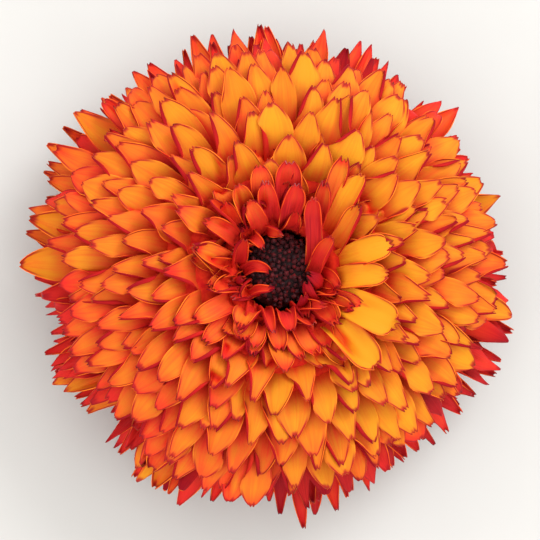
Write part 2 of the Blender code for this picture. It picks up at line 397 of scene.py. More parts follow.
def buildFloretTree(name, material, columns=floretGrid["columns"], rows=floretGrid["rows"]):
    tree, points, size = newGeometryTree(name, floretShape)
    grid, x, y = flatGrid(tree, columns, rows)
    crowded = x.sign() * (1 - (1 - x.abs()) ** size["Edge Crowding"])
    blade = storeAttribute(tree, grid, "across", crowded)
    blade = storeAttribute(tree, blade, "along", 1 - (0.5 - y * 0.5) ** size["Tip Crowding"])
    real = scatter(tree, points, blade, randomValue(tree, size["Seed"]))

    a = {value: readAttribute(tree, value) for value in (*floretValues, "across", "along")}
    start, widest, cup, phase, across = (a[value] for value in ("start", "widest", "cup", "phase", "across"))
    p = [readAttribute(tree, value, "FLOAT_VECTOR") for value in vectorValues]
    t = start + (1 - start) * a["along"]
    u = 1 - t
    weights = (u * u * u, 3 * (u * u * t), 3 * (u * t * t), t * t * t)
    centre = p[0].times(weights[0])
    for handle, weight in zip(p[1:4], weights[1:]):
        centre = centre.plus(handle.times(weight))
    way = p[1].minus(p[0]).times(u * u).plus(p[2].minus(p[1]).times(2 * (u * t)))
    way = way.plus(p[3].minus(p[2]).times(t * t)).unit()
    up = p[4].cross(way).unit()
    right = way.cross(up)

    # outline: narrow claw, then full width, then a pointed arch
    arch = ((t - widest) / (1 - widest)).atLeast(0.0)
    width = a["halfWidth"] * t.smooth(0.0, widest, size["Claw Width"], 1.0)
    width = width * (1 - (1 - size["Tip Width"]) * arch ** (size["Arch Power"] * a["blunt"]))

    # cross section: a shallow cup whose edges turn up and over near the tip
    isRight, v = across.above(0.0), across.abs()
    hem = a["hemLeft"] + (a["hemRight"] - a["hemLeft"]) * isRight
    fold = (a["foldLeft"] + (a["foldRight"] - a["foldLeft"]) * isRight) * t.smooth(a["foldFrom"], widest)
    curl = cup + fold / (1 - hem)
    inner, outer, bend = v.atMost(hem) * cup, (v - hem).atLeast(0.0) * curl, hem * cup
    flat = inner.sin() / cup + ((bend + outer).sin() - bend.sin()) / curl
    lift = (1 - inner.cos()) / cup + (bend.cos() - (bend + outer).cos()) / curl
    sideways = across.sign() * width * flat
    upward = width * lift + a["pleat"] * (across * size["Pleat Turn"]).cos() * (1 - v)
    upward = upward + a["ripple"] * v * v * (t * size["Ripple Turn"] + phase).sin()
    upward = upward + a["hook"] * arch.smooth(0.6, 1.0)

    tooth = arch.smooth(0.8, 1.0) * a["tooth"] * (across * size["Tooth Turn"] + phase).cos()
    turn = a["roll"] + a["twist"] * t
    place = centre.plus(right.times(sideways * turn.cos() - upward * turn.sin()))
    place = place.plus(up.times(sideways * turn.sin() + upward * turn.cos()))
    place = place.plus(way.times(tooth - a["hook"].abs() * arch.smooth(0.8, 1.0) * 0.5))
    rolled = ((v - hem) / (1 - hem)).atLeast(0.0) * (fold / 1.5).atMost(1.0)
    shown = 1 - (1 - t) * a["bladeLength"] / size["Shown Length"]
    for value, wire in (("shown", shown), ("arch", arch), ("rolled", rolled)):
        real = storeAttribute(tree, real, value, wire)
    return finishTree(tree, moveTo(tree, real, place), material)


# petal colours

petalPaint = {
    "face": ((0.00, (0.68, 0.014, 0.013)), (0.18, (0.75, 0.023, 0.013)), (0.36, (0.80, 0.050, 0.012)),
             (0.54, (0.78, 0.108, 0.012)), (0.74, (0.73, 0.175, 0.010)), (1.00, (0.75, 0.275, 0.010))),
    "heart": (0.60, 0.018, 0.016),
    "dusk": (0.34, 0.006, 0.012),
    # painted highlight along the petal edges
    "edge": (1.0, 0.38, 0.025),
    "fringe": (0.78, 0.36, 0.36),
    # crimson of the rolled edges, partly painted shade
    "hem": (0.38, 0.006, 0.011),
    "tip": (0.14, 0.002, 0.011),
    "back": ((0.0, (0.66, 0.030, 0.012)), (0.35, (0.47, 0.011, 0.011)), (0.58, (0.27, 0.005, 0.012)),
             (0.90, (0.12, 0.002, 0.012))),
    "rim": ((0.1, (0.50, 0.012, 0.01)), (0.5, (0.86, 0.090, 0.01)), (0.9, (1.0, 0.260, 0.02))),
}
# sky: painted shade, crimson where neighbouring florets hide the sky; length: the red base of each petal,
# partly painted shade too
faceRipeness = {                # what turns the face from crimson to golden, and by how much
    "base": 0.25, "sky": 0.46, "length": 0.10, "tone": 0.13, "veins": 0.34, "blotches": 0.40,
    # tip: painted shade at the tip
    "redness": -0.16, "tip": -0.12, "redTip": -0.55,
}


def petalFace():
    material, tree = newMaterial("petalFace", 0.6, 0.12)
    shown, sky, across, arch, rolled, tone, redness, grain = shaderValues(
        tree, "shown", "open", "across", "arch", "rolled", "tone", "redness", "grain")
    side, part = across.abs(), faceRipeness
    veins = joinXYZ(tree, across * 9, shown * 0.8, grain * 50).noise(1.0, 3.0)
    blotch = joinXYZ(tree, across, shown * 1.5, grain * 90).noise(1.2)

    # painted shade: crimson where neighbouring florets hide the sky ("open"), and towards the hidden base,
    # which is also the petal's own red base
    ripe = sky.smooth(0.12, 0.88) * part["sky"] + shown.smooth(0.05, 0.55) * part["length"]
    ripe = ripe * (1 - redness * 0.55) + part["base"] + tone * part["tone"] + redness * part["redness"]
    # painted shade: redder towards the petal's sides
    ripe = ripe - side.smooth(0.4, 1.0) * (0.05 + redness * 0.10)
    bright = (tone + 0.6).atLeast(0.0).atMost(1.0)
    ripe = ripe + redness * (shown.smooth(0.35, 0.9) - 0.35) * bright * 0.35
    ripe = ripe + (veins - 0.5) * part["veins"] + (blotch - 0.5) * part["blotches"]
    # painted shade: redder towards the tip
    ripe = ripe + arch.smooth(0.4, 1.0) * part["tip"]
    ripe = ripe + arch.smooth(0.25, 0.95) * redness.smooth(0.12, 0.35) * (1 - redness) * part["redTip"]
    colour = ripe.atLeast(0.1).ramp(petalPaint["face"])

    # the red florets are deep red low down, partly painted shade at the base, with dusky streaks
    streaks = veins.smooth(0.38, 0.62) * 0.8 - 0.25 - tone * 0.45
    deepRed = streaks.mix(petalPaint["heart"], petalPaint["dusk"])
    deepRedWithBaseShade = sky * 0.8 + 0.40 - veins * 0.9 + shown.smooth(0.30, 0.75, 0.55, 0.0)
    deepRedWithBaseShade = deepRedWithBaseShade - ((tone + 0.3) * 0.5).atMost(0.0)
    colour = (redness * deepRedWithBaseShade).mix(colour, deepRed)

    # a painted golden highlight along the edge, then the crimson hem (partly painted shade) and tip, and a
    # pale fringe on some of the red ones
    edgeHighlight = side.smooth(0.92, 1.0) * blotch.smooth(0.42, 0.62)
    colour = (edgeHighlight * (0.4 + redness * 0.5)).mix(colour, petalPaint["edge"])
    # crimson on the rolled edges and along the tip's edges: partly the petal's reverse, partly painted shade
    # of the curl; the tip cap is the petal's own dark colour
    edges = arch.smooth(0.25, 0.7) * side.smooth(0.75, 0.89) * redness.smooth(0.75, 0.95, 1.0, 0.3)
    strips = rolled.smooth(0.12, 0.40) * (1 - redness * 0.35)
    cap = arch + (blotch - 0.5) * 0.4
    deep = cap.smooth(0.96, 1.08) + arch.smooth(0.1, 0.7) * rolled.smooth(0.3, 0.8) * 0.8
    deep = deep.atMost(1.0) * redness.smooth(0.7, 0.95, 1.0, 0.3)
    hem = (cap.smooth(0.84, 0.97) + edges + strips).atMost(1.0) * 0.94
    colour = hem.mix(colour, deep.mix(petalPaint["hem"], petalPaint["tip"]))
    pale = arch.smooth(0.95, 1.0) * redness.smooth(0.6, 0.9) * grain.smooth(0.5, 0.6) * 0.6
    return finishMaterial(material, pale.mix(colour, petalPaint["fringe"]), veins)


def petalBack():
    material, tree = newMaterial("petalBack", 0.6, 0.05)
    shown, across, grain = shaderValues(tree, "shown", "across", "grain")
    veins = joinXYZ(tree, across * 8, shown * 0.7, grain * 50).noise(1.0, 3.0)
    colour = (shown * 0.6 + (veins - 0.5) * 0.4).ramp(petalPaint["back"])
    return finishMaterial(material, colour, veins)


def petalRim():
    material, tree = newMaterial("petalRim", 0.6, 0.05)
    shown, arch, redness, grain = shaderValues(tree, "shown", "arch", "redness", "grain")
    patch = joinXYZ(tree, shown * 3, grain * 60, 0.0).noise(1.0)
    ripe = shown.smooth(0.0, 0.7) * 0.7 + (patch - 0.5) * 0.9 + 0.1 - redness * 0.35
    dark = arch.smooth(0.6, 1.0) * patch.smooth(0.3, 0.6)
    return finishMaterial(material, dark.mix(ripe.ramp(petalPaint["rim"]), petalPaint["tip"]))


def growBlades(name, florets, tree, values):
    return growOn(seatMesh(name + "Seats", florets), tree, values, name + "Blades")


def thicken(blades, name, thickness=0.2 * mm, extra=()):
    for material in extra:
        blades.data.materials.append(material)
    skin = blades.modifiers.new("skin", "SOLIDIFY")
    skin.thickness = thickness
    skin.offset = -1.0
    if extra:
        skin.material_offset, skin.material_offset_rim = 1, 2
    soften = blades.modifiers.new("soften", "SUBSURF")
    soften.levels = soften.render_levels = 1
    return plainMesh(blades, name)


skyRays = [Vector((0, 0, 1))]
for tilt, count in ((35, 5), (62, 7)):      # degrees from straight up, and how many rays lean that far
    flat, tall = math.sin(math.radians(tilt)), math.cos(math.radians(tilt))
    skyRays += [polar(flat, 2 * math.pi * i / count, tall) for i in range(count)]


def gather(pieces):
    # the points and faces of all pieces in one list each
    places, faces = [], []
    for piece in pieces:
        first = len(places)
        places += [corner.co.copy() for corner in piece.data.vertices]
        faces += [[first + i for i in face.vertices] for face in piece.data.polygons]
    return places, faces


def crownNormal(place):
    flat, tall = crown["radius"] ** 2, crown["rise"] ** 2
    return Vector((place.x / flat, place.y / flat, (place.z - crown["centreZ"]) / tall)).normalized()


def pressUnder(pieces, ranks, reach=2.0 * mm, gap=0.5 * mm, skip=0.02 * mm, rounds=3):
    # florets of a lower rank lie on those of a higher one: what pokes through a blade is pushed back under it
    cornersEach = floretGrid["columns"] * floretGrid["rows"]
    facesEach = (floretGrid["columns"] - 1) * (floretGrid["rows"] - 1)
    places, faces = gather(pieces)
    normals = [crownNormal(place) for place in places]
    for _ in range(rounds):
        blades = BVHTree.FromPolygons(places, faces)
        pushed = 0
        for k, (place, normal) in enumerate(zip(places, normals)):
            mine = ranks[k // cornersEach]
            start, left, lowest = place - normal * skip, reach, None
            while left > 0:
                hit, _, face, distance = blades.ray_cast(start, -normal, left)
                if hit is None:
                    break
                if ranks[face // facesEach] < mine:
                    lowest = hit
                start, left = hit - normal * skip, left - distance - skip
            if lowest:
                places[k] = lowest - normal * gap
                pushed += 1
    print("still pushed", pushed, "of", len(places), "points in the last round")
    for place in places:
        place.z = max(place.z, 0.3 * mm)        # keeps off the floor
    first = 0
    for piece in pieces:
        corners = piece.data.vertices
        moved = places[first:first + len(corners)]
        corners.foreach_set("co", [value for place in moved for value in place])
        piece.data.update()
        first += len(moved)


def measureOpenForPaintedShade(pieces, stepOff=0.35, reach=14 * mm):
    # how much sky each point of the blades sees past the others, kept as the attribute "open" for the painted
    # shade on the petal face
    others = BVHTree.FromPolygons(*gather(pieces))
    for piece in pieces:
        seen = []
        for corner in piece.data.vertices:
            clear = [others.ray_cast(corner.co + ray * stepOff * mm, ray, reach)[0] is None
                     for ray in skyRays]
            seen.append(sum(clear) / len(clear))
        piece.data.attributes.new("open", "FLOAT", "POINT").data.foreach_set("value", seen)


faceMaterial, backMaterial, rimMaterial = petalFace(), petalBack(), petalRim()
petalSkins = (backMaterial, rimMaterial)
floretTree = buildFloretTree("bendFlorets", faceMaterial)


# ray florets

rays = {
    "rootsR": (9.5 * mm, 10.5 * mm),
    "rootsZ": (13.0 * mm, 12.5 * mm),
    # (angle from the axis in degrees, value) pairs
    "startSlope": ((19, 86), (114, -4)),
    "tipSlope": ((10, 72), (26, 10), (40, -12), (60, -31), (75, -42), (90, -44), (112, -38)),
    "halfWidth": ((22, 2.4 * mm), (34, 2.6 * mm), (70, 2.6 * mm), (84, 2.5 * mm), (105, 2.4 * mm)),
    "archLength": ((22, 4.0 * mm), (66, 4.4 * mm), (82, 7.0 * mm), (105, 8.0 * mm)),
    "drop": ((22, 0.7 * mm), (36, 0.0)),
    "pullIn": ((56, 0.0), (66, 1.3 * mm), (76, 1.6 * mm), (84, 0.0)),   # leaves the red rim in view
    "cup": ((20, 0.45), (45, 0.17), (70, 0.22), (90, 0.80)),
    "redness": ((22, 0.22), (34, 0.03), (44, 0.0), (72, 0.05), (84, 0.75)),
    "redFrom": 50,
    # (heading in degrees, value) pairs: how much crimson the rim shows there
    "crimsonRim": ((0, 0.9), (35, 0.7), (70, 0.4), (120, 0.3), (135, 0.1), (170, 0.0), (184, 1.0), (228, 0.8),
                   (238, 0.0), (255, 0.6), (285, 1.0), (360, 0.9)),
    "strongFold": (2.6, 3.2, 3.6, 4.0, 4.4),    # on the edge that lies away from the sun
    "weakFold": (0.1, 0.2, 0.4, 0.9, 2.6),
    "wideHem": (0.42, 0.62),
    "narrowHem": (0.76, 0.90),
    "foldLength": 4.8 * mm,
    "blunt": (0.4, 0.9),
    "tipLift": (-0.2 * mm, 0.9 * mm),
    "sunSide": math.radians(53),
    # painted light: florets are yellower and less red towards this side, where the light falls
    "goldenSide": math.radians(30),
    "goldenSpot": math.radians(-62),    # where some florets are yellower still
    "spotPower": 12,
    "dome": {"reach": (-1.2 * mm, 1.0 * mm), "lean": 0.8, "ripple": 0.3, "hook": (-0.3, 0.5), "tooth": 1},
    "rim": {"reach": (-2.6 * mm, 1.1 * mm), "lean": 2.0, "ripple": 0.9, "hook": (-1.2, 1.0), "tooth": 0.2},
    "rimFrom": 72,
    "rimFolds": {"foldRight": (1.8, 3.8), "foldLeft": (1.2, 3.4),
                 "hemRight": (0.4, 0.7), "hemLeft": (0.45, 0.8)},
    "rimTurn": (-30, 45),       # degrees that a rim floret's tip bends up or down
    "rimRedness": (0.45, 0.95),
    "rimSlack": (-0.7 * mm, 1.2 * mm),  # by which its other florets stay behind the nearest of rimTips
    "turnedOver": 0.06,         # share of the rim's florets that show their backs
    "placedAngles": (85, 98),   # for those of rimTips
    "placedSlope": -25,         # the steepest for those
    "placedBlunt": (0.45, 0.75),
    "goldenAngles": (82, 86),
    "goldenWiden": 0.3,
    "goldenLook": {"tone": 1.4, "foldRight": 0.8, "foldLeft": 0.6, "blunt": 1.0},
    "extraCount": 90,           # florets more between the others
    "extraAngles": (26, 78),
    "extraTries": 16,
    "grooveCount": 56,          # short ones in the groove between the dome and its lowest rows
    "grooveAngles": (75, 82),
    "grooveShort": (2.2 * mm, 4.0 * mm),
    "liftRank": 8,              # a mm of lift counts like so many degrees when florets are laid on others
    "vary": {"slope": (-4, 8), "arch": (0.85, 1.25), "fold": (0.7, 1.2), "width": (0.88, 1.12),
             "cup": (0.6, 1.5), "tooth": (0.1, 0.45), "roll": 20, "twist": 9, "tone": 0.6, "rimTone": 0.5},
    "seed": 21,
}
rimTips = {                     # tips that make the outline: heading in degrees, and mm from the middle
    -9: 37.7, -4: 34.8, 0: 36, 3: 34.4, 6: 35.6, 9: 35.1, 12: 35.7, 16: 32.8, 19.3: 36.8, 23: 36.4,
    27: 34.3, 31.5: 36.5, 34: 35.4, 37.3: 35.9, 42: 38.5, 46: 38.4, 51: 32.2, 57.7: 36.3, 61: 38,
    63.4: 38.3, 66: 38.9, 68.7: 39.4, 71.5: 36.2, 77.9: 38.3, 80: 35.9, 83.7: 34.6, 88: 36.3,
    90.5: 38.2, 92.5: 37.9, 94.5: 36.6, 98.4: 38.2, 103.8: 38.3, 108.3: 37.7, 113.2: 36.6, 119.8: 36.9,
    124: 37.1, 128: 35.9, 131.3: 36.3, 134.5: 37.5, 138.9: 37.8, 141.3: 38.1, 144.8: 38.1, 150.3: 38.7,
    153: 37.7, 155: 37.5, 157: 36.8, 161.3: 36.1, 164.6: 37.6, 167.5: 37.2, 171: 37.1, 178: 38.2,
    181.3: 35.6, 185: 35.2, 190: 34.8, 195.5: 33.4, 198: 34.7, 200.2: 35.7, 202.5: 35.9, 204.5: 35.1,
    206.8: 36.5, 210: 35.6, 213: 34.2, 216.8: 34.2, 221: 31.5, 225.3: 31.2, 229.7: 35.2, 234.5: 36.1,
    237.5: 37.6, 241: 36.5, 244.7: 36, 248.9: 36.2, 255.7: 35.5, 260: 33.4, 264.9: 34.5, 269.5: 33.7,
    277.4: 38.1, 280: 34.4, 286: 36.4, 289: 35, 295: 35.7, 300: 33.3, 305.3: 34.6, 310.6: 35.3,
    313.5: 34.8, 319: 32.1, 322: 34.8, 324.6: 36, 327: 35.4, 330.5: 36.4, 334.4: 37.6, 337: 37.3,
    340.3: 37.4, 344: 35.6, 348: 37.5,
}
goldenTips = (-9, 19.3, 128, 141.3, 157, 167.5, 178, 206.8, 210, 216.8, 234.5, 237.5, 241)
coreProfile = ((8.6, 12.1), (14.0, 12.1), (20.4, 12.9), (23.4, 14.6), (24.2, 17.2), (22.8, 21.2),
               (18.4, 24.9), (13.4, 26.6), (9.6, 26.0), (8.6, 19.4))


def insideCore(radius, z):
    inside = False
    for (rA, zA), (rB, zB) in zip(coreProfile, coreProfile[1:] + coreProfile[:1]):
        if (zA > z) != (zB > z) and radius < (rB - rA) * (z - zA) / (zB - zA) + rA:
            inside = not inside
    return inside


def bezierAt(p0, p1, p2, p3, t):
    u = 1 - t
    return p0 * u ** 3 + p1 * (3 * u * u * t) + p2 * (3 * u * t * t) + p3 * t ** 3


def bezierLength(handles, steps=24):
    stops = [bezierAt(*handles, i / steps) for i in range(steps + 1)]
    return sum((b - a).length for a, b in zip(stops, stops[1:]))


def bentHandles(azimuth, root, tip, slopes, arm, unit=1.0):
    # a curve in an upright plane through the axis, from root to tip, both (r, z), with its slope at each
    start, end = slopes
    stops = (root, (root[0] + arm * math.cos(start), root[1] + arm * math.sin(start)),
             (tip[0] - arm * math.cos(end), tip[1] - arm * math.sin(end)), tip)
    side = Vector((math.sin(azimuth), -math.cos(azimuth), 0))
    return [polar(r * unit, azimuth, z * unit) for r, z in stops], side


def leavesCore(handles):
    # share of its length at which a floret comes out of the core
    for percent in range(90, 5, -2):
        place = bezierAt(*handles, percent / 100) / mm
        if insideCore(math.hypot(place.x, place.y), place.z):
            return percent / 100 - 0.05
    return 0.3


def dressRay(floret, draw):
    angle, azimuth = floret["angle"], floret["azimuth"]
    isPlaced, onRim = "isGolden" in floret, angle > rays["rimFrom"]
    zone, vary = rays["rim" if onRim else "dome"], rays["vary"]
    share = (angle - crown["rayAngles"][0]) / (crown["rayAngles"][1] - crown["rayAngles"][0])
    rootR, rootZ = between(*rays["rootsR"], share), between(*rays["rootsZ"], share)
    start = math.radians(eased(rays["startSlope"], angle))
    end = math.radians(eased(rays["tipSlope"], angle) + floret["slopeShift"] + draw.uniform(*vary["slope"]))
    arm = armShare * math.hypot(floret["tipR"] - rootR, floret["tipZ"] - rootZ)
    crimson = eased(rays["crimsonRim"], math.degrees(azimuth) % 360)
    reach = draw.uniform(*zone["reach"])
    reach -= eased(rays["pullIn"], angle) * (0.6 + 1.1 * crimson)
    floret["lifted"] = lift = draw.uniform(*rays["tipLift"]) - eased(rays["drop"], angle)
    tip = (floret["tipR"] + reach * math.cos(end), floret["tipZ"] + lift + reach * math.sin(end))
    if isPlaced:
        tip = (floret["tipR"], floret["tipZ"])
    elif onRim:
        nearest = max(rimTips, key=lambda heading: math.cos(azimuth - math.radians(heading)))
        tip = (min(tip[0], rimTips[nearest] * mm - draw.uniform(*rays["rimSlack"])), tip[1])
    if onRim:
        end += math.radians(draw.uniform(*rays["rimTurn"]))
        if isPlaced:
            end = max(end, math.radians(rays["placedSlope"]))
    handles, side = bentHandles(azimuth, (rootR, rootZ), tip, (start, end), arm)
    lean = jitter(draw, 1.0) * (0.0 if isPlaced else zone["lean"]) * mm
    handles[2] += side * lean * 0.4
    handles[3] += side * lean
    length = bezierLength(handles)
    floret.update(
        zip(vectorValues, (*handles, side)), start=leavesCore(handles), bladeLength=length,
        widest=1 - eased(rays["archLength"], angle) * draw.uniform(*vary["arch"]) / length,
        foldFrom=1 - rays["foldLength"] * draw.uniform(*vary["fold"]) / length,
        halfWidth=eased(rays["halfWidth"], angle) * floret["widthShare"] * draw.uniform(*vary["width"]),
        cup=eased(rays["cup"], angle) * draw.uniform(*vary["cup"]))
    # the edge away from the sun is rolled more
    strong, weak = draw.choice(rays["strongFold"]), draw.choice(rays["weakFold"])
    wide, narrow = draw.uniform(*rays["wideHem"]), draw.uniform(*rays["narrowHem"])
    if draw.random() < 0.5 + 0.5 * math.sin(rays["sunSide"] - azimuth):
        floret.update(foldRight=strong, foldLeft=weak, hemRight=wide, hemLeft=narrow)
    else:
        floret.update(foldRight=weak, foldLeft=strong, hemRight=narrow, hemLeft=wide)
    floret["blunt"] = draw.uniform(*rays["blunt"])
    if onRim:
        for name, span in rays["rimFolds"].items():
            floret[name] = draw.uniform(*span)
        floret["roll"] += math.radians(jitter(draw, vary["roll"]))
        if isPlaced:
            floret["blunt"] = draw.uniform(*rays["placedBlunt"])
        elif draw.random() < rays["turnedOver"]:
            floret["roll"] += math.pi
    # painted light: yellower and less red towards the lit side
    golden = math.cos(azimuth - rays["goldenSide"])
    spot = max(0.0, math.cos(azimuth - rays["goldenSpot"])) ** rays["spotPower"]
    redness = eased(rays["redness"], angle + (7 * crimson if angle > rays["redFrom"] else 0))
    floret.update(ripple=draw.uniform(0.0, zone["ripple"]) * mm, hook=draw.uniform(*zone["hook"]) * mm,
                  phase=draw.uniform(*anyPhase), tooth=draw.uniform(*vary["tooth"]) * zone["tooth"] * mm,
                  twist=math.radians(jitter(draw, vary["twist"])), redness=max(0.0, redness - 0.2 * golden),
                  tone=draw.gauss(0.45, vary["tone"]) + 0.15 * golden + 0.9 * spot)
    if onRim:
        floret.update(redness=redness * between(*rays["rimRedness"], crimson),
                      tone=draw.gauss(0.6 - 1.7 * crimson, vary["rimTone"]))
    if isPlaced:
        golden = max(floret["isGolden"], 0.6 * (1 - crimson))
        floret["redness"] *= 1 - golden
        floret["halfWidth"] *= 1 + rays["goldenWiden"] * golden
        for name, value in rays["goldenLook"].items():
            floret[name] = between(floret[name], value, golden)


def placeBetween(angle, others, draw):
    # the best of some random turns: the one that keeps its tip farthest from the tips already there
    tips = [polar(other["tipR"], other["azimuth"], other["tipZ"]) for other in others]
    tries = [placeFloret(draw.uniform(0, 1000), angle, draw) for _ in range(rays["extraTries"])]

    def room(floret):
        tip = polar(floret["tipR"], floret["azimuth"], floret["tipZ"])
        return min((tip - other).length for other in tips)

    return max(tries, key=room)


draw = random.Random(crown["seed"])
looks = random.Random(rays["seed"])
hidden = random.Random(rays["seed"] + 1)
for i, angle in enumerate(crownAngles(*crown["innerAngles"], crown["innerCount"])):
    placeFloret(i, angle, draw)     # for its draws alone: in the solids they come before those of the rays
rayPlaces = [placeFloret(crown["innerCount"] + i, angle, draw)
             for i, angle in enumerate(crownAngles(*crown["rayAngles"], crown["rayCount"]))]
for floret in rayPlaces[-3:]:       # the head rests on these
    floret["tipZ"] = 0.25 * mm
for heading, tipR in rimTips.items():
    isGolden = heading in goldenTips
    floret = placeFloret(0, looks.uniform(*rays["goldenAngles" if isGolden else "placedAngles"]), looks)
    floret.update(azimuth=math.radians(heading), tipR=tipR * mm, isGolden=isGolden)
    rayPlaces.append(floret)
for angle in crownAngles(*rays["extraAngles"], rays["extraCount"]):
    rayPlaces.append(placeBetween(angle, rayPlaces, looks))
for floret in rayPlaces:
    dressRay(floret, looks)
for k in range(rays["grooveCount"]):
    floret = placeFloret(0, hidden.uniform(*rays["grooveAngles"]), hidden)
    floret["azimuth"] = (k + jitter(hidden, 0.3)) * 2 * math.pi / rays["grooveCount"]
    floret["tipR"] -= hidden.uniform(*rays["grooveShort"])
    dressRay(floret, hidden)
    rayPlaces.append(floret)

blades, ranks = {}, []
for name, low, high in (("rayFloretsTop", 0, 46), ("rayFloretsSide", 46, 64), ("rayFloretsLow", 64, 79),
                        ("rayFloretsRim", 79, 92), ("rayFloretsSkirt", 92, 180)):
    chosen = [floret for floret in rayPlaces if low <= floret["angle"] < high]
    values = {"Arch Power": 1.4, "Tip Width": 0.05} if low >= 79 else {}        # pointed ones on the rim
    blades[name] = growBlades(name, chosen, floretTree, values)
    ranks += [floret["angle"] - floret["lifted"] / mm * rays["liftRank"] for floret in chosen]
    print(name, len(chosen), "florets")


# inner florets, placed one by one: root x, y; tip x, y, z (mm); way the tip points; half width (mm); cup;
# folds right and left; twist (degrees); tone; redness

